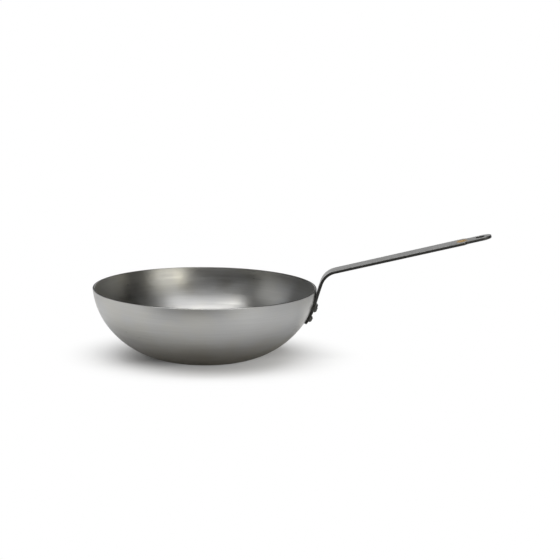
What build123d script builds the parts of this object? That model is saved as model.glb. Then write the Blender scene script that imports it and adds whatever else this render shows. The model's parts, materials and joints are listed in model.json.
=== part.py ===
from build123d import *
from math import asin, cos, degrees, radians, sin
import os

# A round carbon steel wok with a flat base and one long riveted handle. Lengths are in
# millimetres and angles in degrees. The origin is the centre of the base's underside, +Z is
# up, and the handle points along +X.

# Bowl
rim_diameter = 321.6
bowl_height = 102.8
base_diameter = 81.4
sheet_thickness = 2.5
lower_wall_turn = 52.0
rim_slope = 84.7
rim_chamfer = 0.4

# Handle strip, from the bowl to the tail
strip_thickness = 4.0
strip_width = 30.5
neck_depth = 18.6
neck_length = 28.8
bend_radius = 28.6
grip_rise = 13.85
grip_length = 228.2
grip_width = 34.0
tongue_width = 26.0
tongue_length = 33.0
shoulder_length = 8.0
hang_hole_diameter = 13.0
hang_hole_inset = 16.0
strip_edge_chamfer = 0.4

# Riveted end of the handle
plate_corner_radius = 8.5
plate_tip_radius = 10.0
plate_neck_fillet = 7.0
plate_wrap_height = 12.0

# Rivets
rivet_pair_spacing = 20.0
rivet_pair_drop = 7.5
rivet_row_spacing = 17.5
shank_diameter = 4.8
outer_head_diameter = 9.6
outer_head_height = 3.4
outer_head_flat_diameter = 5.6
outer_head_side = 1.4
inner_head_diameter = 11.0
inner_head_height = 2.2
inner_head_side = 0.5

# Enamel spot near the tail
spot_diameter = 13.0
spot_thickness = 0.8
spot_edge_rounding = 0.25
spot_tail_distance = 43.0

# Fits and cuts
seat_gap = 0.1
shank_clearance = 0.05
head_clearance = 0.25
spot_clearance = 0.15
cut_overrun = 6.0

# Edges where faces meet at more than this angle are broken
corner_angle = 30.0

# The outer wall is a flat floor, a lower arc that leaves it tangentially, and an upper arc
# that carries on tangentially to the rim. Each arc spans a share of its radius outwards and
# upwards, and the two radii are those whose spans add up to the wall's width and height.
base_radius = base_diameter / 2
wall_width = rim_diameter / 2 - base_radius
upper_wall_turn = rim_slope - lower_wall_turn
lower_out_share = sin(radians(lower_wall_turn))
lower_up_share = 1 - cos(radians(lower_wall_turn))
upper_out_share = sin(radians(rim_slope)) - lower_out_share
upper_up_share = cos(radians(lower_wall_turn)) - cos(radians(rim_slope))
span_share = lower_out_share * upper_up_share - upper_out_share * lower_up_share
lower_wall_radius = (wall_width * upper_up_share - bowl_height * upper_out_share) / span_share
upper_wall_radius = (bowl_height * lower_out_share - wall_width * lower_up_share) / span_share


def wall_slope(depth):
    """Slope of the outer wall at a depth below the rim, measured along the wall."""
    upper_length = upper_wall_radius * radians(upper_wall_turn)
    if depth <= upper_length:
        return rim_slope - degrees(depth / upper_wall_radius)
    return lower_wall_turn - degrees((depth - upper_length) / lower_wall_radius)


def wall_plane(depth, side_shift=0):
    """Plane on the outer wall, with Z out of the wall and Y up along it."""
    slope = radians(wall_slope(depth))
    turn = radians(lower_wall_turn)
    radius = base_radius + lower_wall_radius * sin(min(slope, turn))
    height = lower_wall_radius * (1 - cos(min(slope, turn)))
    if slope > turn:
        radius += upper_wall_radius * (sin(slope) - sin(turn))
        height += upper_wall_radius * (cos(turn) - cos(slope))
    around = asin(side_shift / radius)
    return Plane(
        origin=(radius * cos(around), radius * sin(around), height),
        x_dir=(-sin(around), cos(around), 0),
        z_dir=(sin(slope) * cos(around), sin(slope) * sin(around), -cos(slope)),
    )


def wall_outline(outward, upper_turn):
    """Half section of the wall, moved outward, from the axis up through part of its turn."""
    floor = Line((0, -outward), (base_radius, -outward))
    lower = JernArc(floor @ 1, (1, 0), lower_wall_radius + outward, lower_wall_turn)
    upper = JernArc(lower @ 1, lower % 1, upper_wall_radius + outward, upper_turn)
    return floor @ 0, upper @ 1, upper % 1


def corner_edges(solid, clear_of):
    """Edges where faces meet at a clear angle, apart from those in one plane of the solid."""
    corners = []
    for edge in solid.edges():
        middle = edge @ 0.5
        sides = [face.normal_at(middle) for face in solid.faces() if edge in face.edges()]
        in_plane = abs(clear_of.to_local_coords(middle).Z) < strip_edge_chamfer / 2
        if sides[0].get_angle(sides[-1]) > corner_angle and not in_plane:
            corners.append(edge)
    return corners


# The strip follows the wall up to the neck's foot, and leaves it there along its own slope.
foot = wall_plane(neck_depth)
neck_slope = wall_slope(neck_depth)
neck_foot = foot.origin + foot.z_dir * seat_gap
wrap_end = Plane(origin=neck_foot + foot.y_dir * plate_wrap_height, z_dir=foot.y_dir)
neck_top = Plane(origin=neck_foot + foot.y_dir * neck_length, z_dir=foot.y_dir)

rivet_pair_depth = neck_depth + rivet_pair_drop
rivet_low_depth = rivet_pair_depth + rivet_row_spacing
rivet_seats = {
    "rivet_upper_left": wall_plane(rivet_pair_depth, rivet_pair_spacing / 2),
    "rivet_upper_right": wall_plane(rivet_pair_depth, -rivet_pair_spacing / 2),
    "rivet_lower": wall_plane(rivet_low_depth),
}

# The grip's plane lies on its top face, with its origin where the bend ends and X to the tail.
grip_along = Vector(cos(radians(grip_rise)), 0, sin(radians(grip_rise)))
grip_normal = Vector(-sin(radians(grip_rise)), 0, cos(radians(grip_rise)))
bend_turn = neck_slope - grip_rise
bend_centre = neck_top.origin + foot.z_dir * bend_radius
grip_plane = Plane(
    origin=bend_centre + grip_normal * bend_radius, x_dir=grip_along, z_dir=grip_normal
)
spot_place = grip_length - spot_tail_distance
hang_hole_place = grip_length - hang_hole_inset

os.makedirs("parts", exist_ok=True)

# Bowl: one pressed sheet of even thickness, with a plain cut rim
with BuildPart() as bowl:
    with BuildSketch(Plane.XZ):
        with BuildLine():
            outside = wall_outline(0, upper_wall_turn)
            inside = wall_outline(-sheet_thickness, upper_wall_turn)
            Line(outside[0], inside[0])
            Line(outside[1], inside[1])
        make_face()
    revolve(axis=Axis.Z)
    rim_edges = bowl.edges().filter_by(GeomType.CIRCLE).sort_by(Axis.Z)[-2:]
    chamfer(rim_edges, length=rim_chamfer)
    with BuildSketch(*rivet_seats.values()):
        Circle(shank_diameter / 2 + shank_clearance)
    extrude(amount=sheet_thickness + cut_overrun, both=True, mode=Mode.SUBTRACT)
bowl.part.label = "bowl"
export_step(bowl.part, "parts/bowl.step")

# Riveted plate: a band that hugs the wall and runs on straight past the ears, cut to the
# hull of its three rounded corners with the strip rising between them
with BuildPart() as plate:
    with BuildSketch(Plane.XZ):
        with BuildLine():
            back = wall_outline(seat_gap, neck_slope - lower_wall_turn)
            front = wall_outline(seat_gap + strip_thickness, neck_slope - lower_wall_turn)
            run = plate_wrap_height + cut_overrun
            back_run = Line(back[1], back[1] + back[2] * run)
            front_run = Line(front[1], front[1] + front[2] * run)
            Line(back[0], front[0])
            Line(back_run @ 1, front_run @ 1)
        make_face()
    revolve(axis=Axis.Z)
    outline_plane = wall_plane((rivet_pair_depth + rivet_low_depth) / 2)
    pair_place = outline_plane.to_local_coords(rivet_seats["rivet_upper_left"].origin)
    low_place = outline_plane.to_local_coords(rivet_seats["rivet_lower"].origin)
    with BuildSketch(outline_plane) as plate_outline:
        with Locations((pair_place.X, pair_place.Y), (-pair_place.X, pair_place.Y)):
            Circle(plate_corner_radius)
        with Locations((low_place.X, low_place.Y)):
            Circle(plate_tip_radius)
        make_hull()
        strip_run = rivet_pair_drop + plate_wrap_height + cut_overrun
        with Locations((0, pair_place.Y)):
            Rectangle(strip_width, strip_run, align=(Align.CENTER, Align.MIN))
        fillet(plate_outline.vertices().group_by(Axis.Y)[-2], radius=plate_neck_fillet)
    extrude(amount=strip_thickness + cut_overrun, both=True, mode=Mode.INTERSECT)
    split(bisect_by=wrap_end, keep=Keep.BOTTOM)
    chamfer(corner_edges(plate.part, clear_of=wrap_end), length=strip_edge_chamfer)

# Grip: the bend and the long run seen from the side, cut to the outline seen from above
with BuildPart() as grip:
    with BuildSketch(Plane.XZ):
        with BuildLine():
            bend_start = (neck_top.origin.X, neck_top.origin.Z)
            bend_way = (foot.y_dir.X, foot.y_dir.Z)
            run_way = Vector(grip_along.X, grip_along.Z)
            below = (foot.z_dir.X * strip_thickness, foot.z_dir.Z * strip_thickness)
            top_bend = JernArc(bend_start, bend_way, bend_radius, -bend_turn)
            top_run = Line(top_bend @ 1, top_bend @ 1 + run_way * grip_length)
            low_start = Vector(bend_start) + Vector(below)
            low_bend = JernArc(low_start, bend_way, bend_radius - strip_thickness, -bend_turn)
            low_run = Line(low_bend @ 1, low_bend @ 1 + run_way * grip_length)
            Line(top_bend @ 0, low_bend @ 0)
            Line(top_run @ 1, low_run @ 1)
        make_face()
    extrude(amount=grip_width, both=True)
    with BuildSketch(grip_plane):
        with BuildLine():
            tongue_start = grip_length - tongue_length
            shoulder_start = tongue_start - shoulder_length
            shoulder_middle = (
                (shoulder_start + tongue_start) / 2,
                (grip_width + tongue_width) / 4,
            )
            bend_side = Line((-bend_radius - cut_overrun, strip_width / 2), (0, strip_width / 2))
            grip_side = Line(bend_side @ 1, (shoulder_start, grip_width / 2))
            shoulder = TangentArc(grip_side @ 1, shoulder_middle, tangent=(1, 0))
            hollow = TangentArc(
                shoulder @ 1, (tongue_start, tongue_width / 2), tangent=shoulder % 1
            )
            tongue_side = Line(hollow @ 1, (grip_length - tongue_width / 2, tongue_width / 2))
            RadiusArc(tongue_side @ 1, (grip_length, 0), tongue_width / 2)
            Line((-bend_radius - cut_overrun, 0), bend_side @ 0)
            mirror(about=Plane.XZ)
        make_face()
        with Locations((hang_hole_place, 0)):
            Circle(hang_hole_diameter / 2, mode=Mode.SUBTRACT)
    extrude(amount=bend_radius + strip_thickness, both=True, mode=Mode.INTERSECT)
    chamfer(corner_edges(grip.part, clear_of=neck_top), length=strip_edge_chamfer)

# Handle: the plate and the grip, joined by a neck that flattens from the curve of the bowl
# to a plain strip
with BuildPart() as handle:
    add(plate.part)
    add(grip.part)
    plate_end = plate.faces().sort_by(Axis(wrap_end.origin, foot.y_dir))[-1]
    grip_end = grip.faces().sort_by(Axis(neck_top.origin, foot.y_dir))[0]
    loft([plate_end, grip_end])
    with BuildSketch(*rivet_seats.values()):
        Circle(shank_diameter / 2 + shank_clearance)
    extrude(amount=strip_thickness + cut_overrun, both=True, mode=Mode.SUBTRACT)
    with BuildSketch(grip_plane):
        with Locations((spot_place, 0)):
            Circle(spot_diameter / 2 + spot_clearance)
    extrude(amount=-spot_thickness, mode=Mode.SUBTRACT)
handle.part.label = "handle"
export_step(handle.part, "parts/handle.step")


def rivet_profile(seat):
    """Plane through a rivet's axis, with X across the rivet and Y out of the wall."""
    return Plane(origin=seat.origin, x_dir=seat.x_dir, z_dir=-seat.y_dir)


# Rivets: a shank through the wall and the plate, a stepped head outside and a low dome inside
for rivet_name, seat in rivet_seats.items():
    with BuildPart() as rivet:
        with BuildSketch(rivet_profile(seat)):
            with BuildLine():
                head_foot = seat_gap + strip_thickness
                head_shoulder = head_foot + outer_head_side
                head_top = head_foot + outer_head_height
                dome_foot = -sheet_thickness - head_clearance
                dome_edge = dome_foot - inner_head_side
                dome_top = dome_foot - inner_head_height
                Polyline(
                    (0, dome_top),
                    (0, head_top),
                    (outer_head_flat_diameter / 2, head_top),
                    (outer_head_diameter / 2, head_shoulder),
                    (outer_head_diameter / 2, head_foot),
                    (shank_diameter / 2, head_foot),
                    (shank_diameter / 2, dome_foot),
                    (inner_head_diameter / 2, dome_foot),
                    (inner_head_diameter / 2, dome_edge),
                )
                TangentArc((0, dome_top), (inner_head_diameter / 2, dome_edge), tangent=(1, 0))
            make_face()
        revolve(axis=Axis(seat.origin, seat.z_dir))
    rivet.part.label = rivet_name
    export_step(rivet.part, f"parts/{rivet_name}.step")

# Enamel spot: a thin round fill in a shallow pocket of the grip's top face
with BuildPart() as spot:
    with BuildSketch(grip_plane.offset(-spot_thickness)):
        with Locations((spot_place, 0)):
            Circle(spot_diameter / 2)
    extrude(amount=spot_thickness)
    fillet(spot.edges().sort_by(Axis(grip_plane.origin, grip_normal))[-1], spot_edge_rounding)
spot.part.label = "enamel_spot"
export_step(spot.part, "parts/enamel_spot.step")
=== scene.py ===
"""The finishes of a flat-based carbon steel wok with a riveted strip handle, and its studio."""

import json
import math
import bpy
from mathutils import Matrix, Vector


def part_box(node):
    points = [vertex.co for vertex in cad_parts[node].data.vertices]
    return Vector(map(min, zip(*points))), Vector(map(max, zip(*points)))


bl_info = {
    "name": "Carbon Steel Wok Finish",
    "version": (1, 0, 0),
    "blender": (4, 5, 0),
    "location": "View3D > Sidebar > Wok",
    "description": "Finishes the bowl, handle, rivets and enamel spot of a wok in its studio",
    "category": "Object",
}

import bpy
from bpy.props import FloatProperty, FloatVectorProperty, PointerProperty
from mathutils import Matrix, Vector

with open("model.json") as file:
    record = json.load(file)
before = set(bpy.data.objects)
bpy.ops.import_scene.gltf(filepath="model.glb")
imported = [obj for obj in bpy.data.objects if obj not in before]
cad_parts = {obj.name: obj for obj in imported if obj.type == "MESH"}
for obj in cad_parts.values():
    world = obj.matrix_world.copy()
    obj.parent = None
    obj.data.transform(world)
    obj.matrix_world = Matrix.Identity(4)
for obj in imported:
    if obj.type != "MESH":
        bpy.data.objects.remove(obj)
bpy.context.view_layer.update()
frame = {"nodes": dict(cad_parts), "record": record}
bowl_low, bowl_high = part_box("bowl")
spot_low, spot_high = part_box("enamel_spot")
hang_hole = next(mount for mount in frame["record"]["mounts"] if mount["name"] == "hang_hole")

RIVET_NODES = ("rivet_upper_left", "rivet_upper_right", "rivet_lower")

# The hang hole is square to the grip's faces, so its axis is their normal too
HOLE_CENTRE = tuple(hang_hole["pos_m"])
HOLE_RADIUS = hang_hole["dims"]["r_mm"] / 1000
GRIP_NORMAL = tuple(hang_hole["axis"])
SPOT_CENTRE = tuple((low + high) / 2 for low, high in zip(spot_low, spot_high))
SPOT_RADIUS = (spot_high.y - spot_low.y) / 2

# A pair named RAMP or REACH is where a change starts and where it ends. Any other pair of
# numbers is what a mask gives where it is 0 and where it is 1.

# Grain, mottle and edge wear, which the finishes share
GRAIN_BREAKUP = 0.6
STREAK_RAMP = (0.30, 0.70)
BAND_WIDENING = 7.0
PATCH_RAMP = (0.35, 0.65)
EDGE_TURN_RAMP = (0.01, 0.12)
BREAK_RAMP = (0.30, 0.65)
LEAST_WEAR = 0.25

# The cut face of the rim faces up, in a band under the bowl's highest point
RIM_BAND = 0.002
CUT_FACE_RAMP = (0.80, 0.95)
CUT_FACE_DULLING = 0.35
# The rim's outer edge is worn bare and painted brighter still, as a painted highlight
LIP_FACING_RAMP = (0.10, 0.50)
SHEET_LINE_TONES = (0.94, 1.04)
SHEET_BAND_TONES = (0.96, 1.03)
SHEET_BAND_ROUGHNESS = (-0.05, 0.05)
SHEET_FILM_ROUGHNESS = (-0.04, 0.04)

# The strip's sides, faces, arrises, hole and tail are told by which way they face and where
# they lie
# Painted shade: the sides, most of their arrises, the tail end and the hang hole's wall are painted
# near-black
SIDE_RAMP = (0.45, 0.75)
TOP_FACE_RAMP = (0.80, 0.95)
BROAD_FACE_RAMP = (0.40, 0.80)
HOLE_WALL_REACH = (0.0001, 0.0003)
TAIL_REACH = (0.003, 0.006)
ARRIS_FACING = math.sqrt(0.5)
ARRIS_TOLERANCE = 0.12
ARRIS_WEAR = (0.0, 0.10)
STRIP_LINE_TONES = (0.97, 1.03)
STRIP_FILM_TONES = (0.95, 1.05)
STRIP_ROUGHNESS = (0.32, 0.36)

# The enamel was wiped across the strip, so its film reaches further that way, with a ragged edge
WIPED_SQUEEZE = (1.0, 0.62, 1.0)
WIPED_RAGGEDNESS = (-0.002, 0.002)
WIPED_REACH = (0.0008, 0.0022)
WIPED_COVER = (1.0, 0.45)

RIVET_TONES = (0.80, 1.15)
RIVET_ROUGHNESS = (0.35, 0.50)
RIVET_HAMMER_DEPTH = 0.00005
ENAMEL_TONES = (0.88, 1.12)
ENAMEL_ROUGHNESS = (0.38, 0.46)
ENAMEL_RIPPLE_DEPTH = 0.000005

# The shadow that the camera sees is an oval, longer from side to side and paler in front
SHADOW_SQUEEZE = (0.88, 1.0, 0.0)
SHADOW_SHIFT = (-0.006, -0.01, 0.0)
SHADOW_CORE = 0.085
SHADOW_FRONT = (0.5, -1.0, 0.0)
SHADOW_FRONT_RAMP = (-0.012, 0.055)
SHADOW_FRONT_WHITE = 0.24

# The steel mirrors a floor that is painted near the bowl and white further out. The white is
# dim in a round patch in front, and a little dimmer to the right and behind.
MIRRORED_WHITE_RAMP = (0.16, 0.50)
DIM_PATCH_CENTRE = (-0.07, -0.80, 0.0)
DIM_PATCH_RAMP = (0.38, 0.64)
DIM_RIGHT_RAMP = (0.18, 0.38)
DIM_RIGHT_LEVEL = 0.66
DIM_BACK_RAMP = (0.0, 0.25)
DIM_BACK_LEVEL = 0.78
# Painted shade: in reflections the floor's paint is darker under the bowl
UNDER_BOWL_SHADE_RAMP = (0.10, 0.25)
UNDER_BOWL_SHADE_LEVEL = 0.50

# The steel mirrors a room that is white low down behind the wok and dark elsewhere
ROOM_HEIGHT_RAMP = (0.10, 0.45)
ROOM_BACK_RAMP = (0.70, 0.95)
ROOM_DARK = 0.10
ROOM_LIGHTING = 0.62

FLOOR_HALF_SIZE = 30.0
CAMERA_SENSOR = 36.0
QUARTER_TURN = math.pi / 2


class BowlFinish(bpy.types.PropertyGroup):
    """Sizes and colours of the bowl's turned steel."""

    steel: FloatVectorProperty(
        name="Steel",
        description="Colour of the clean brushed sheet",
        subtype="COLOR",
        min=0.0,
        max=1.0,
        default=(0.49, 0.49, 0.485),
    )
    # Painted shade: the sheet is painted darker and warmer low on the wall, standing in for the shaded
    # floor that it mirrors
    painted_foot_shade: FloatVectorProperty(
        name="Foot",
        description="Colour of the warmer, duller sheet low on the wall",
        subtype="COLOR",
        min=0.0,
        max=1.0,
        default=(0.43, 0.40, 0.35),
    )
    foot_shade_height: FloatProperty(
        name="Foot Height",
        description="Height at which the foot's colour has faded out",
        subtype="DISTANCE",
        unit="LENGTH",
        min=0.0,
        default=(bowl_high.z - bowl_low.z) * 0.55,
    )
    line_width: FloatProperty(
        name="Line Width",
        description="Width of one turned line, across the grain",
        subtype="DISTANCE",
        unit="LENGTH",
        min=0.0,
        default=0.0006,
    )
    line_length: FloatProperty(
        name="Line Length",
        description="Length of one turned line, along the grain",
        subtype="DISTANCE",
        unit="LENGTH",
        min=0.0,
        default=0.09,
    )
    line_depth: FloatProperty(
        name="Line Depth",
        description="Depth of the turned lines",
        subtype="DISTANCE",
        unit="LENGTH",
        min=0.0,
        default=0.000012,
    )
    roughness: FloatProperty(
        name="Roughness",
        description="Roughness of the turned steel",
        subtype="FACTOR",
        min=0.0,
        max=1.0,
        default=0.36,
    )
    # Worn lip and painted highlight: the rim's outer edge is painted brighter than the sheet
    lip_wear_and_highlight: FloatVectorProperty(
        name="Bright Lip",
        description="Colour of the steel where handling polishes the outer edge of the rim",
        subtype="COLOR",
        min=0.0,
        max=1.0,
        default=(0.80, 0.80, 0.79),
    )
    film_warm: FloatVectorProperty(
        name="Film Warm",
        description="Tint of the wax film where it lies thick",
        subtype="COLOR",
        min=0.0,
        max=1.0,
        default=(0.975, 0.965, 0.925),
    )
    film_cool: FloatVectorProperty(
        name="Film Cool",
        description="Tint of the wax film where it is wiped thin",
        subtype="COLOR",
        min=0.0,
        max=1.0,
        default=(0.985, 0.99, 1.0),
    )
    cut_rim: FloatVectorProperty(
        name="Cut Rim",
        description="Colour of the sheared face of the rim",
        subtype="COLOR",
        min=0.0,
        max=1.0,
        default=(0.18, 0.178, 0.17),
    )


class HandleFinish(bpy.types.PropertyGroup):
    """Sizes and colours of the handle's lacquered strip."""

    face: FloatVectorProperty(
        name="Face",
        description="Colour of the strip's broad faces under the dark lacquer",
        subtype="COLOR",
        min=0.0,
        max=1.0,
        default=(0.27, 0.27, 0.262),
    )
    # Painted shade: colour of the strip's sides, tail end and hang hole's wall
    painted_side_shade: FloatVectorProperty(
        name="Sheared Edge",
        description="Colour of the strip's sheared sides",
        subtype="COLOR",
        min=0.0,
        max=1.0,
        default=(0.065, 0.064, 0.061),
    )
    worn_edge: FloatVectorProperty(
        name="Worn Edge",
        description="Colour of the bare steel where the arrises are rubbed",
        subtype="COLOR",
        min=0.0,
        max=1.0,
        default=(0.48, 0.47, 0.45),
    )
    wiped_enamel: FloatVectorProperty(
        name="Wiped Enamel",
        description="Colour of the thin enamel wiped over the strip round the spot",
        subtype="COLOR",
        min=0.0,
        max=1.0,
        default=(0.20, 0.115, 0.02),
    )
    line_width: FloatProperty(
        name="Line Width",
        description="Width of one ground line, across the strip",
        subtype="DISTANCE",
        unit="LENGTH",
        min=0.0,
        default=0.0009,
    )
    line_length: FloatProperty(
        name="Line Length",
        description="Length of one ground line, along the strip",
        subtype="DISTANCE",
        unit="LENGTH",
        min=0.0,
        default=0.05,
    )
    line_depth: FloatProperty(
        name="Line Depth",
        description="Depth of the ground lines",
        subtype="DISTANCE",
        unit="LENGTH",
        min=0.0,
        default=0.000004,
    )


class RivetFinish(bpy.types.PropertyGroup):
    """Colours of the rivets."""

    steel: FloatVectorProperty(
        name="Steel",
        description="Colour of the dark formed rivet steel",
        subtype="COLOR",
        min=0.0,
        max=1.0,
        default=(0.11, 0.108, 0.105),
    )
    worn_edge: FloatVectorProperty(
        name="Worn Edge",
        description="Colour of the bare steel on the heads' edges",
        subtype="COLOR",
        min=0.0,
        max=1.0,
        default=(0.35, 0.34, 0.33),
    )


class SpotFinish(bpy.types.PropertyGroup):
    """Colours of the enamel spot."""

    enamel: FloatVectorProperty(
        name="Enamel",
        description="Colour of the ochre enamel",
        subtype="COLOR",
        min=0.0,
        max=1.0,
        default=(0.36, 0.205, 0.035),
    )


class Studio(bpy.types.PropertyGroup):
    """Camera, floor and lights."""

    camera_distance: FloatProperty(
        name="Camera Distance",
        description="Distance from the middle of the rim to the camera",
        subtype="DISTANCE",
        unit="LENGTH",
        min=0.1,
        default=3.0,
    )
    camera_azimuth: FloatProperty(
        name="Camera Azimuth",
        description="Turn of the camera about the bowl's axis, from the front towards the handle",
        subtype="ANGLE",
        unit="ROTATION",
        default=math.radians(4.48),
    )
    camera_elevation: FloatProperty(
        name="Camera Elevation",
        description="Height of the camera above the rim, as an angle",
        subtype="ANGLE",
        unit="ROTATION",
        default=math.radians(10.8866),
    )
    camera_pan: FloatProperty(
        name="Camera Pan",
        description="Turn of the camera towards the handle, away from the rim's middle",
        subtype="ANGLE",
        unit="ROTATION",
        default=0.03598,
    )
    camera_tilt: FloatProperty(
        name="Camera Tilt",
        description="Turn of the camera upwards, away from the rim's middle",
        subtype="ANGLE",
        unit="ROTATION",
        default=0.0035,
    )
    camera_roll: FloatProperty(
        name="Camera Roll",
        description="Turn of the camera about its own line of sight",
        subtype="ANGLE",
        unit="ROTATION",
        default=math.radians(0.2828),
    )
    focal_length: FloatProperty(
        name="Focal Length",
        description="Focal length of the camera, in millimetres on a 36 mm sensor",
        subtype="DISTANCE_CAMERA",
        min=1.0,
        default=134.15,
    )
    floor_colour: FloatVectorProperty(
        name="Floor",
        description="Colour of the floor",
        subtype="COLOR",
        min=0.0,
        max=1.0,
        default=(0.85, 0.85, 0.85),
    )
    shadow_radius: FloatProperty(
        name="Shadow Radius",
        description="Distance from the bowl's axis at which the floor has turned plain white",
        subtype="DISTANCE",
        unit="LENGTH",
        min=0.1,
        default=0.20,
    )
    overhead_power: FloatProperty(
        name="Overhead Light",
        description="Power of the soft light above the bowl",
        unit="POWER",
        min=0.0,
        default=15.0,
    )
    left_power: FloatProperty(
        name="Left Light",
        description="Power of the soft light to the left of the bowl",
        unit="POWER",
        min=0.0,
        default=2.7,
    )
    right_front_power: FloatProperty(
        name="Right Front Light",
        description="Power of the warm low light in front of the handle",
        unit="POWER",
        min=0.0,
        default=7.6,
    )


def set_inputs(tree, node, inputs):
    """Links or sets the named inputs of a node."""
    for name, given in inputs.items():
        if isinstance(given, bpy.types.NodeSocket):
            tree.links.new(given, node.inputs[name])
        else:
            node.inputs[name].default_value = given


def add_node(tree, kind, inputs=None, **settings):
    """Adds a node with its settings and its inputs."""
    node = tree.nodes.new(kind)
    for name, setting in settings.items():
        setattr(node, name, setting)
    set_inputs(tree, node, inputs or {})
    return node


def place_group(tree, group, inputs):
    """Places a shader group in a material with its own values."""
    node = tree.nodes.new("ShaderNodeGroup")
    node.node_tree = group
    set_inputs(tree, node, inputs)
    return node.outputs


def calculate(tree, operation, *inputs):
    """Result of a math node."""
    return add_node(tree, "ShaderNodeMath", dict(enumerate(inputs)), operation=operation).outputs[0]


def calculate_vector(tree, operation, *inputs):
    """Vector that a vector math node gives."""
    node = add_node(tree, "ShaderNodeVectorMath", dict(enumerate(inputs)), operation=operation)
    return node.outputs["Vector"]


def measure_vector(tree, operation, *inputs):
    """Number that a vector math node gives."""
    node = add_node(tree, "ShaderNodeVectorMath", dict(enumerate(inputs)), operation=operation)
    return node.outputs["Value"]


def scale_vector(tree, vector, scale):
    """Vector times a number."""
    inputs = {0: vector, "Scale": scale}
    return add_node(tree, "ShaderNodeVectorMath", inputs, operation="SCALE").outputs["Vector"]


def split_vector(tree, vector):
    """X, Y and Z of a vector."""
    return add_node(tree, "ShaderNodeSeparateXYZ", {0: vector}).outputs


def object_position(tree):
    """Place on the object, in the frame's metres."""
    return add_node(tree, "ShaderNodeTexCoord").outputs["Object"]


def surface_normal(tree):
    """Direction that the surface faces."""
    return add_node(tree, "ShaderNodeNewGeometry").outputs["Normal"]


def noise(tree, inputs, **settings):
    """Value of a noise texture."""
    return add_node(tree, "ShaderNodeTexNoise", inputs, **settings).outputs[0]


def spread(tree, given, low, high, to_low=0.0, to_high=1.0, smooth=False):
    """Moves a value from one range to another, and holds it there."""
    kind = "SMOOTHSTEP" if smooth else "LINEAR"
    ranges = {"Value": given, "From Min": low, "From Max": high, "To Min": to_low, "To Max": to_high}
    return add_node(tree, "ShaderNodeMapRange", ranges, interpolation_type=kind).outputs["Result"]


def vary(tree, mask, limits):
    """Value that goes from the first limit to the second as a mask goes from 0 to 1."""
    first, second = limits
    return spread(tree, mask, 0.0, 1.0, first, second)


def mix_colours(tree, share, first, second, blend="MIX"):
    """First colour changed towards the second by a share."""
    node = tree.nodes.new("ShaderNodeMix")
    node.data_type = "RGBA"
    node.blend_type = blend
    for socket, given in zip((node.inputs[0], node.inputs[6], node.inputs[7]), (share, first, second)):
        if isinstance(given, bpy.types.NodeSocket):
            tree.links.new(given, socket)
        elif isinstance(given, float):
            socket.default_value = given
        else:
            socket.default_value = (*given, 1.0)
    return node.outputs[2]


def tint(tree, colour, tone):
    """Colour times a tone or another colour."""
    return mix_colours(tree, 1.0, colour, tone, "MULTIPLY")


def distance_from_line(tree, position, point, direction):
    """Distance of a position from the line through a point."""
    from_point = calculate_vector(tree, "SUBTRACT", position, point)
    across = calculate_vector(tree, "CROSS_PRODUCT", from_point, direction)
    return measure_vector(tree, "LENGTH", across)


def bump(tree, height, depth):
    """Normal of a surface raised by a height between 0 and 1, times a depth."""
    return add_node(tree, "ShaderNodeBump", {"Height": height, "Distance": depth}).outputs["Normal"]


def new_group(name, inputs, outputs):
    """Empty shader group, where an input without a default is a vector, and its inner sockets."""
    group = bpy.data.node_groups.new(name, "ShaderNodeTree")
    for socket_name, default in inputs.items():
        kind = "NodeSocketVector" if default is None else "NodeSocketFloat"
        socket = group.interface.new_socket(socket_name, in_out="INPUT", socket_type=kind)
        if default is not None:
            socket.default_value = default
    for socket_name in outputs:
        group.interface.new_socket(socket_name, in_out="OUTPUT", socket_type="NodeSocketFloat")
    return group, group.nodes.new("NodeGroupInput").outputs, group.nodes.new("NodeGroupOutput").inputs


def grain_group():
    """Lines of a brushed or turned surface, long along the grain and narrow across it."""
    if "Grain" in bpy.data.node_groups:
        return bpy.data.node_groups["Grain"]
    group, given, result = new_group(
        "Grain",
        {"Along": None, "Across": 0.0, "Line Length": 0.05, "Line Width": 0.001, "Breakup": 0.5},
        ("Lines", "Bands"),
    )
    length_count = calculate(group, "DIVIDE", 1.0, given["Line Length"])
    along = split_vector(group, scale_vector(group, given["Along"], length_count))
    for output, widening in (("Lines", 1.0), ("Bands", BAND_WIDENING)):
        width = calculate(group, "MULTIPLY", given["Line Width"], widening)
        across = calculate(group, "DIVIDE", given["Across"], width)
        place = add_node(group, "ShaderNodeCombineXYZ", {0: along["X"], 1: along["Y"], 2: across})
        streaks = noise(
            group,
            {"Vector": place.outputs[0], "Scale": 1.0, "Detail": 3.0, "Roughness": given["Breakup"]},
        )
        group.links.new(spread(group, streaks, *STREAK_RAMP), result[output])
    return group


def mottle_group():
    """Soft uneven patches, as a wiped film of wax, lacquer or enamel leaves them."""
    if "Mottle" in bpy.data.node_groups:
        return bpy.data.node_groups["Mottle"]
    group, given, result = new_group("Mottle", {"Patch Size": 0.03, "Seed": 0.0}, ("Patches",))
    count = calculate(group, "DIVIDE", 1.0, given["Patch Size"])
    clouds = noise(
        group,
        {
            "Vector": object_position(group),
            "Scale": count,
            "W": given["Seed"],
            "Detail": 3.0,
            "Roughness": 0.55,
        },
        noise_dimensions="4D",
    )
    group.links.new(spread(group, clouds, *PATCH_RAMP, smooth=True), result["Patches"])
    return group


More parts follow.
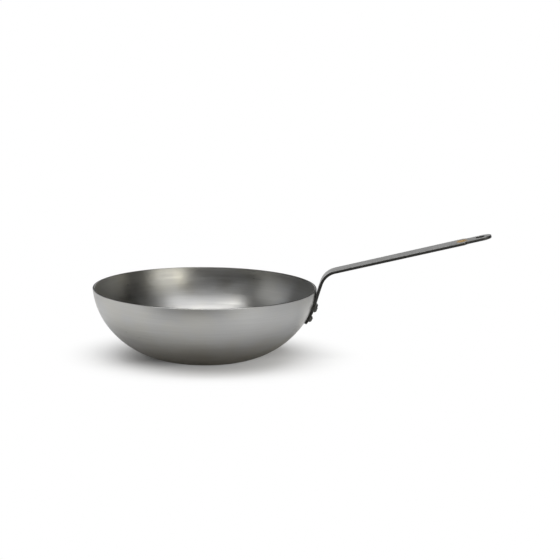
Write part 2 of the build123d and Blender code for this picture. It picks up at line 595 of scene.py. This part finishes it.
def edge_wear_group():
    """Mask of the edges where handling rubs a surface bare, broken up along their length."""
    if "Edge Wear" in bpy.data.node_groups:
        return bpy.data.node_groups["Edge Wear"]
    group, given, result = new_group(
        "Edge Wear", {"Radius": 0.001, "Break Length": 0.01, "Amount": 0.5}, ("Wear",)
    )
    rounded = add_node(group, "ShaderNodeBevel", {"Radius": given["Radius"]}, samples=6).outputs[0]
    alike = measure_vector(group, "DOT_PRODUCT", rounded, surface_normal(group))
    turned = spread(group, calculate(group, "SUBTRACT", 1.0, alike), *EDGE_TURN_RAMP)
    count = calculate(group, "DIVIDE", 1.0, given["Break Length"])
    breaks = noise(
        group, {"Vector": object_position(group), "Scale": count, "Detail": 4.0, "Roughness": 0.6}
    )
    kept = spread(group, breaks, *BREAK_RAMP, to_low=LEAST_WEAR)
    wear = calculate(group, "MULTIPLY", calculate(group, "MULTIPLY", turned, kept), given["Amount"])
    group.links.new(wear, result["Wear"])
    return group


def new_material(name):
    """Empty node material and its tree."""
    material = bpy.data.materials.new(name)
    material.use_nodes = True
    material.node_tree.nodes.clear()
    return material, material.node_tree


def surface_output(tree, shader):
    """Joins a shader to the material's output."""
    add_node(tree, "ShaderNodeOutputMaterial", {"Surface": shader})


def principled_output(tree, inputs):
    """Joins a Principled BSDF with the given inputs to the material's output."""
    surface_output(tree, add_node(tree, "ShaderNodeBsdfPrincipled", inputs).outputs[0])


def dress(node_name, material):
    """Gives a node of the frame its material."""
    slots = frame["nodes"][node_name].data.materials
    slots.clear()
    slots.append(material)


def lay_grain(tree, finish, along, across):
    """Grain with a finish's own lines, from places along them and across them."""
    inputs = {
        "Along": along,
        "Across": across,
        "Line Length": finish.line_length,
        "Line Width": finish.line_width,
        "Breakup": GRAIN_BREAKUP,
    }
    return place_group(tree, grain_group(), inputs)


def rim_masks(tree, height, outward):
    """Masks of the cut face of the rim and of its outer edge, which is worn bare and has a painted
    highlight.
    """
    facing = surface_normal(tree)
    at_top = spread(tree, height, bowl_high.z - RIM_BAND, bowl_high.z - RIM_BAND / 2)
    faces_up = spread(tree, split_vector(tree, facing)["Z"], *CUT_FACE_RAMP)
    wear = place_group(
        tree, edge_wear_group(), {"Radius": 0.0012, "Break Length": 0.03, "Amount": 0.9}
    )["Wear"]
    faces_out = spread(tree, measure_vector(tree, "DOT_PRODUCT", facing, outward), *LIP_FACING_RAMP)
    return calculate(tree, "MULTIPLY", at_top, faces_up), calculate(tree, "MULTIPLY", wear, faces_out)


def turned_steel(finish):
    """Brushed sheet turned about the bowl's axis, with painted shade that makes it darker and warmer
    towards the bottom.
    """
    material, tree = new_material("turned_steel")
    position = object_position(tree)
    height = split_vector(tree, position)["Z"]
    from_axis = calculate_vector(tree, "MULTIPLY", position, (1.0, 1.0, 0.0))
    outward = calculate_vector(tree, "NORMALIZE", from_axis)
    round_rim = scale_vector(tree, outward, bowl_high.x)
    down_wall = calculate(tree, "ADD", measure_vector(tree, "LENGTH", from_axis), height)
    grain = lay_grain(tree, finish, round_rim, down_wall)
    film = place_group(tree, mottle_group(), {"Patch Size": 0.045, "Seed": 2.0})["Patches"]
    # The rim's worn outer edge also carries a painted highlight
    cut, lip_wear_and_highlight_mask = rim_masks(tree, height, outward)

    # Painted shade: darker, warmer colour towards the bottom of the wall
    foot_shade_share = spread(tree, height, finish.foot_shade_height, bowl_low.z, smooth=True)
    clean = mix_colours(tree, foot_shade_share, finish.steel, finish.painted_foot_shade)
    waxed = tint(tree, clean, mix_colours(tree, film, finish.film_warm, finish.film_cool))
    line_tone = vary(tree, grain["Lines"], SHEET_LINE_TONES)
    band_tone = vary(tree, grain["Bands"], SHEET_BAND_TONES)
    sheet = tint(tree, waxed, calculate(tree, "MULTIPLY", line_tone, band_tone))
    with_cut = mix_colours(tree, cut, sheet, finish.cut_rim)

    band_change = vary(tree, grain["Bands"], SHEET_BAND_ROUGHNESS)
    film_change = vary(tree, film, SHEET_FILM_ROUGHNESS)
    cut_change = calculate(tree, "MULTIPLY", cut, CUT_FACE_DULLING)
    change = calculate(tree, "ADD", calculate(tree, "ADD", band_change, film_change), cut_change)

    tangent = add_node(tree, "ShaderNodeTangent", direction_type="RADIAL", axis="Z").outputs[0]
    principled_output(
        tree,
        {
            "Base Color": mix_colours(tree, lip_wear_and_highlight_mask, with_cut, finish.lip_wear_and_highlight),
            "Metallic": 1.0,
            "Roughness": calculate(tree, "ADD", change, finish.roughness),
            "Anisotropic": 0.5,
            "Anisotropic Rotation": 0.25,
            "Tangent": tangent,
            "Normal": bump(tree, grain["Lines"], finish.line_depth),
            "Coat Weight": 0.06,
            "Coat Roughness": 0.35,
        },
    )
    return material


def painted_side_shade_mask(tree, position, faces_sideways, faces_up):
    """Mask of the painted shade on the strip's sides, its rounded tail and the wall of its hang hole.
    """
    side = spread(tree, faces_sideways, *SIDE_RAMP, smooth=True)
    from_hole = distance_from_line(tree, position, HOLE_CENTRE, GRIP_NORMAL)
    wall, past_wall = (HOLE_RADIUS + reach for reach in HOLE_WALL_REACH)
    in_hole = spread(tree, from_hole, wall, past_wall, to_low=1.0, to_high=0.0)
    tail_start, tail_full = (HOLE_CENTRE[0] + reach for reach in TAIL_REACH)
    past_hole = spread(tree, split_vector(tree, position)["X"], tail_start, tail_full)
    either_way = calculate(tree, "ABSOLUTE", faces_up)
    off_faces = spread(tree, either_way, *BROAD_FACE_RAMP, to_low=1.0, to_high=0.0)
    tail_end = calculate(tree, "MULTIPLY", past_hole, off_faces)
    return calculate(tree, "MAXIMUM", side, calculate(tree, "MAXIMUM", in_hole, tail_end))


def wiped_mask(tree, position, top_face):
    """Mask of the enamel film that was wiped over the strip's top face round the spot."""
    squeezed = calculate_vector(tree, "MULTIPLY", position, WIPED_SQUEEZE)
    from_spot = distance_from_line(tree, squeezed, SPOT_CENTRE, GRIP_NORMAL)
    rubbing = place_group(tree, mottle_group(), {"Patch Size": 0.006, "Seed": 7.0})["Patches"]
    to_edge = calculate(tree, "ADD", from_spot, vary(tree, rubbing, WIPED_RAGGEDNESS))
    full, gone = (SPOT_RADIUS + reach for reach in WIPED_REACH)
    reached = spread(tree, to_edge, full, gone, to_low=1.0, to_high=0.0, smooth=True)
    cover = calculate(tree, "MULTIPLY", vary(tree, rubbing, WIPED_COVER), top_face)
    return calculate(tree, "MULTIPLY", reached, cover)


def lacquered_strip(finish):
    """Ground strip under a dark satin lacquer, with near-black painted shade on its sides, and rubbed
    arrises.
    """
    material, tree = new_material("lacquered_strip")
    position = object_position(tree)
    sides = split_vector(tree, position)
    along_strip = calculate(tree, "ADD", sides["X"], sides["Z"])
    along = add_node(tree, "ShaderNodeCombineXYZ", {0: along_strip}).outputs[0]
    lines = lay_grain(tree, finish, along, sides["Y"])["Lines"]
    film = place_group(tree, mottle_group(), {"Patch Size": 0.02, "Seed": 5.0})["Patches"]

    facing = surface_normal(tree)
    faces_sideways = calculate(tree, "ABSOLUTE", split_vector(tree, facing)["Y"])
    faces_up = measure_vector(tree, "DOT_PRODUCT", facing, GRIP_NORMAL)
    # Painted shade on the sides, tail end and hang hole's wall
    sheared = painted_side_shade_mask(tree, position, faces_sideways, faces_up)
    on_arris = calculate(tree, "COMPARE", faces_sideways, ARRIS_FACING, ARRIS_TOLERANCE)
    rubbed = calculate(tree, "MULTIPLY", on_arris, vary(tree, film, ARRIS_WEAR))
    wiped = wiped_mask(tree, position, spread(tree, faces_up, *TOP_FACE_RAMP))

    line_tone = vary(tree, lines, STRIP_LINE_TONES)
    film_tone = vary(tree, film, STRIP_FILM_TONES)
    face = tint(tree, finish.face, calculate(tree, "MULTIPLY", line_tone, film_tone))
    with_side_shade = mix_colours(tree, sheared, face, finish.painted_side_shade)
    with_wear = mix_colours(tree, rubbed, with_side_shade, finish.worn_edge)
    principled_output(
        tree,
        {
            "Base Color": mix_colours(tree, wiped, with_wear, finish.wiped_enamel),
            "Metallic": calculate(tree, "SUBTRACT", 1.0, wiped),
            "Roughness": vary(tree, film, STRIP_ROUGHNESS),
            "Normal": bump(tree, lines, finish.line_depth),
            "Coat Weight": 0.12,
            "Coat Roughness": 0.25,
        },
    )
    return material


def rivet_steel(finish):
    """Dark formed steel with lighter rubbed edges."""
    material, tree = new_material("rivet_steel")
    film = place_group(tree, mottle_group(), {"Patch Size": 0.004, "Seed": 9.0})["Patches"]
    wear = place_group(
        tree, edge_wear_group(), {"Radius": 0.0005, "Break Length": 0.004, "Amount": 0.7}
    )["Wear"]
    dark = tint(tree, finish.steel, vary(tree, film, RIVET_TONES))
    principled_output(
        tree,
        {
            "Base Color": mix_colours(tree, wear, dark, finish.worn_edge),
            "Metallic": 1.0,
            "Roughness": vary(tree, film, RIVET_ROUGHNESS),
            "Normal": bump(tree, film, RIVET_HAMMER_DEPTH),
        },
    )
    return material


def ochre_enamel(finish):
    """Satin fired enamel with a faint mottle."""
    material, tree = new_material("ochre_enamel")
    film = place_group(tree, mottle_group(), {"Patch Size": 0.004, "Seed": 13.0})["Patches"]
    principled_output(
        tree,
        {
            "Base Color": tint(tree, finish.enamel, vary(tree, film, ENAMEL_TONES)),
            "Roughness": vary(tree, film, ENAMEL_ROUGHNESS),
            "Normal": bump(tree, film, ENAMEL_RIPPLE_DEPTH),
            "Specular IOR Level": 0.15,
        },
    )
    return material


def ray_masks(tree):
    """Mask of the rays from the camera, and mask of reflected and refracted rays."""
    rays = add_node(tree, "ShaderNodeLightPath").outputs
    mirrored = calculate(tree, "MAXIMUM", rays["Is Glossy Ray"], rays["Is Transmission Ray"])
    return rays["Is Camera Ray"], mirrored


def seen_white(tree, studio, position):
    """Share of plain white in the floor that the camera sees, least in the bowl's shadow."""
    oval = calculate_vector(tree, "MULTIPLY_ADD", position, SHADOW_SQUEEZE, SHADOW_SHIFT)
    away = measure_vector(tree, "LENGTH", oval)
    ahead = measure_vector(tree, "DOT_PRODUCT", position, SHADOW_FRONT)
    least = spread(tree, ahead, *SHADOW_FRONT_RAMP, to_high=SHADOW_FRONT_WHITE)
    return spread(tree, away, SHADOW_CORE, studio.shadow_radius, to_low=least, smooth=True)


def mirrored_level(tree, position):
    """Brightness of the floor's white as the steel mirrors it."""
    from_patch = calculate_vector(tree, "SUBTRACT", position, DIM_PATCH_CENTRE)
    front = spread(tree, measure_vector(tree, "LENGTH", from_patch), *DIM_PATCH_RAMP, smooth=True)
    sides = split_vector(tree, position)
    right = spread(
        tree, sides["X"], *DIM_RIGHT_RAMP, to_low=1.0, to_high=DIM_RIGHT_LEVEL, smooth=True
    )
    back = spread(tree, sides["Y"], *DIM_BACK_RAMP, to_low=1.0, to_high=DIM_BACK_LEVEL, smooth=True)
    return calculate(tree, "MULTIPLY", front, calculate(tree, "MULTIPLY", right, back))


def floor_material(studio):
    """Pale floor that keeps the shadow and turns plain white away from it."""
    material, tree = new_material("pale_floor")
    position = object_position(tree)
    away = measure_vector(tree, "LENGTH", position)
    from_camera, mirrored = ray_masks(tree)

    seen_share = calculate(tree, "MULTIPLY", seen_white(tree, studio, position), from_camera)
    mirrored_white = spread(tree, away, *MIRRORED_WHITE_RAMP, smooth=True)
    mirrored_share = calculate(tree, "MULTIPLY", mirrored_white, mirrored)
    share = calculate(tree, "MAXIMUM", seen_share, mirrored_share)
    level = calculate(tree, "MAXIMUM", mirrored_level(tree, position), from_camera)
    white = add_node(tree, "ShaderNodeEmission", {"Strength": level}).outputs[0]

    # Painted shade: in reflections the floor's paint is darker under the bowl
    under_bowl_shade = spread(tree, away, *UNDER_BOWL_SHADE_RAMP, to_low=UNDER_BOWL_SHADE_LEVEL)
    unmirrored = calculate(tree, "SUBTRACT", 1.0, mirrored)
    paint = tint(tree, studio.floor_colour, calculate(tree, "MAXIMUM", under_bowl_shade, unmirrored))
    painted = add_node(tree, "ShaderNodeBsdfDiffuse", {"Color": paint}).outputs[0]
    mixed = add_node(tree, "ShaderNodeMixShader", {0: share, 1: painted, 2: white})
    surface_output(tree, mixed.outputs[0])
    return material


def add_floor(studio):
    """Large flat floor under the base."""
    mesh = bpy.data.meshes.new("studio_floor")
    corners = [
        (x * FLOOR_HALF_SIZE, y * FLOOR_HALF_SIZE, bowl_low.z)
        for x, y in ((-1, -1), (1, -1), (1, 1), (-1, 1))
    ]
    mesh.from_pydata(corners, [], [(0, 1, 2, 3)])
    floor = bpy.data.objects.new("studio_floor", mesh)
    floor.data.materials.append(floor_material(studio))
    bpy.context.scene.collection.objects.link(floor)


def add_soft_light(name, watts, direction, distance, size, colour=(1.0, 1.0, 1.0)):
    """Soft rectangular light that looks at the bowl from a direction."""
    lamp = bpy.data.lights.new(name, "AREA")
    lamp.shape = "RECTANGLE"
    lamp.size, lamp.size_y = size
    lamp.energy = watts
    lamp.color = colour
    light = bpy.data.objects.new(name, lamp)
    away = Vector(direction).normalized()
    light.location = Vector((0.0, 0.0, bowl_high.z)) + away * distance
    light.rotation_euler = away.to_track_quat("Z", "Y").to_euler()
    bpy.context.scene.collection.objects.link(light)


def add_world():
    """White all round for the camera, and a softer room for the steel and for lighting."""
    world = bpy.data.worlds.new("studio_room")
    world.use_nodes = True
    tree = world.node_tree
    tree.nodes.clear()
    direction = split_vector(tree, add_node(tree, "ShaderNodeTexCoord").outputs["Generated"])
    from_camera, mirrored = ray_masks(tree)
    low = spread(tree, direction["Z"], *ROOM_HEIGHT_RAMP, to_low=1.0, to_high=ROOM_DARK, smooth=True)
    behind = spread(tree, direction["Y"], *ROOM_BACK_RAMP, to_low=ROOM_DARK, smooth=True)
    room = calculate(tree, "MULTIPLY", low, behind)
    shown = calculate(tree, "MAXIMUM", calculate(tree, "MULTIPLY", room, mirrored), from_camera)
    diffuse = calculate(tree, "SUBTRACT", 1.0, calculate(tree, "MAXIMUM", from_camera, mirrored))
    lighting = calculate(tree, "MULTIPLY", diffuse, ROOM_LIGHTING)
    strength = calculate(tree, "ADD", shown, lighting)
    background = add_node(
        tree, "ShaderNodeBackground", {"Color": (1.0, 1.0, 1.0, 1.0), "Strength": strength}
    )
    add_node(tree, "ShaderNodeOutputWorld", {"Surface": background.outputs[0]})
    bpy.context.scene.world = world


def add_camera(studio):
    """Camera at the photographed angle, turned a little off the bowl."""
    data = bpy.data.cameras.new("studio_camera")
    data.sensor_width = CAMERA_SENSOR
    data.lens = studio.focal_length
    camera = bpy.data.objects.new("studio_camera", data)
    facing = Matrix.Rotation(studio.camera_azimuth, 3, "Z")
    facing = facing @ Matrix.Rotation(QUARTER_TURN - studio.camera_elevation, 3, "X")
    place = Vector((0.0, 0.0, bowl_high.z)) + facing.col[2] * studio.camera_distance
    facing = facing @ Matrix.Rotation(-studio.camera_pan, 3, "Y")
    facing = facing @ Matrix.Rotation(studio.camera_tilt, 3, "X")
    facing = facing @ Matrix.Rotation(studio.camera_roll, 3, "Z")
    camera.matrix_world = Matrix.Translation(place) @ facing.to_4x4()
    bpy.context.scene.collection.objects.link(camera)
    bpy.context.scene.camera = camera


class WOK_OT_bowl(bpy.types.Operator):
    """Finish the bowl in turned steel."""

    bl_idname = "wok.bowl"
    bl_label = "Finish Bowl"

    def execute(self, context):
        dress("bowl", turned_steel(context.scene.wok_bowl))
        return {"FINISHED"}


class WOK_OT_handle(bpy.types.Operator):
    """Finish the handle in ground, lacquered strip."""

    bl_idname = "wok.handle"
    bl_label = "Finish Handle"

    def execute(self, context):
        dress("handle", lacquered_strip(context.scene.wok_handle))
        return {"FINISHED"}


class WOK_OT_rivets(bpy.types.Operator):
    """Finish the three rivets in dark formed steel."""

    bl_idname = "wok.rivets"
    bl_label = "Finish Rivets"

    def execute(self, context):
        steel = rivet_steel(context.scene.wok_rivets)
        for name in RIVET_NODES:
            dress(name, steel)
        return {"FINISHED"}


class WOK_OT_enamel_spot(bpy.types.Operator):
    """Finish the spot near the tail in ochre enamel."""

    bl_idname = "wok.enamel_spot"
    bl_label = "Finish Enamel Spot"

    def execute(self, context):
        dress("enamel_spot", ochre_enamel(context.scene.wok_spot))
        return {"FINISHED"}


class WOK_OT_studio(bpy.types.Operator):
    """Set up the floor, the lights and the camera."""

    bl_idname = "wok.studio"
    bl_label = "Set Up Studio"

    def execute(self, context):
        studio = context.scene.wok_studio
        context.scene.view_settings.view_transform = "Standard"
        add_world()
        add_floor(studio)
        add_soft_light(
            "overhead",
            studio.overhead_power,
            direction=(0.02, -0.275, 1.0),
            distance=1.6,
            size=(2.0, 0.60),
        )
        add_soft_light(
            "left",
            studio.left_power,
            direction=(-1.0, -0.03, 0.5),
            distance=1.8,
            size=(1.5, 0.9),
            colour=(0.98, 0.99, 1.0),
        )
        add_soft_light(
            "right_front",
            studio.right_front_power,
            direction=(0.70, -0.714, 0.25),
            distance=1.9,
            size=(1.25, 0.5),
            colour=(1.0, 0.97, 0.86),
        )
        add_camera(studio)
        return {"FINISHED"}


SETTINGS = {
    "wok_bowl": BowlFinish,
    "wok_handle": HandleFinish,
    "wok_rivets": RivetFinish,
    "wok_spot": SpotFinish,
    "wok_studio": Studio,
}
OPERATORS = (WOK_OT_bowl, WOK_OT_handle, WOK_OT_rivets, WOK_OT_enamel_spot, WOK_OT_studio)


class WOK_PT_finish(bpy.types.Panel):
    """Steps and settings of the finish."""

    bl_idname = "WOK_PT_finish"
    bl_label = "Wok Finish"
    bl_space_type = "VIEW_3D"
    bl_region_type = "UI"
    bl_category = "Wok"

    def draw(self, context):
        for operator in OPERATORS:
            self.layout.operator(operator.bl_idname)
        for group_name in SETTINGS:
            box = self.layout.box()
            settings = getattr(context.scene, group_name)
            for name in settings.__annotations__:
                box.prop(settings, name)


CLASSES = (*SETTINGS.values(), *OPERATORS, WOK_PT_finish)


def register():
    for entry in CLASSES:
        bpy.utils.register_class(entry)
    for name, group in SETTINGS.items():
        setattr(bpy.types.Scene, name, PointerProperty(type=group))


def unregister():
    for name in SETTINGS:
        delattr(bpy.types.Scene, name)
    for entry in reversed(CLASSES):
        bpy.utils.unregister_class(entry)


def main():
    register()
    bpy.ops.wok.bowl()
    bpy.ops.wok.handle()
    bpy.ops.wok.rivets()
    bpy.ops.wok.enamel_spot()
    bpy.ops.wok.studio()


if __name__ == "__main__":
    main()
